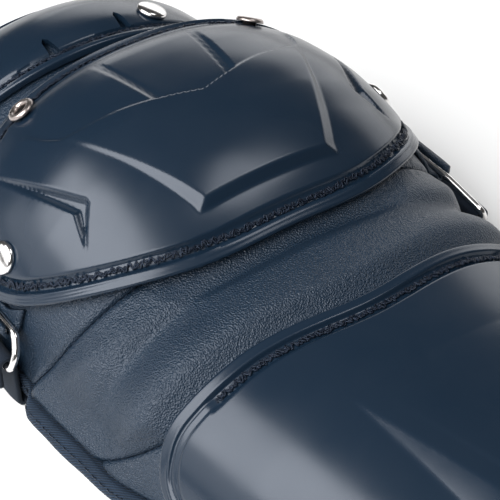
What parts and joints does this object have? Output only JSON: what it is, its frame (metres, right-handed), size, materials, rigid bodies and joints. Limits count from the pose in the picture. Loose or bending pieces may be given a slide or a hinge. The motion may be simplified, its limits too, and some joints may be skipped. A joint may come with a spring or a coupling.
{
  "type": "catcher leg guard",
  "caption": "Arched leg guard with hard knee, shin, thigh and foot shells on padded leatherette, with edge tape, straps and wire loops.",
  "frame": {"origin": "under the middle of the guard, on the surface that it lies on", "axes": "+X across the leg, +Y from the foot to the thigh, +Z out of the front of the guard"},
  "size_m": [0.217, 0.567, 0.1019],
  "materials": {
    "plastic": "satin moulded",
    "leatherette": "fine pebble grain",
    "tape": "woven twill",
    "webbing": "elastic webbing",
    "chrome": "polished"
  },
  "bodies": {
    "root": {"knee_shell": "plastic", "shin_shell": "plastic", "thigh_cap": "plastic", "foot_flap_shell": "plastic", "thigh_pad": "leatherette", "knee_pad": "leatherette", "flex_band": "leatherette", "shin_pad": "leatherette", "foot_flap_pad": "leatherette", "knee_tab_near": "leatherette", "knee_tab_far": "leatherette", "edge_tape_near": "tape", "edge_tape_far": "tape", "thigh_tape_near": "tape", "thigh_tape_far": "tape", "knee_strap": "webbing", "calf_strap": "webbing", "ankle_strap": "webbing", "knee_wire_near": "chrome", "knee_wire_far": "chrome", "grommet_near": "chrome", "grommet_far": "chrome", "knee_rivet_near": "chrome", "knee_rivet_far": "chrome", "thigh_rivet_near": "chrome", "thigh_rivet_far": "chrome", "calf_strap_rivet_near": "chrome", "calf_strap_rivet_far": "chrome", "ankle_strap_rivet_near": "chrome", "ankle_strap_rivet_far": "chrome"}
  },
  "joints": []
}
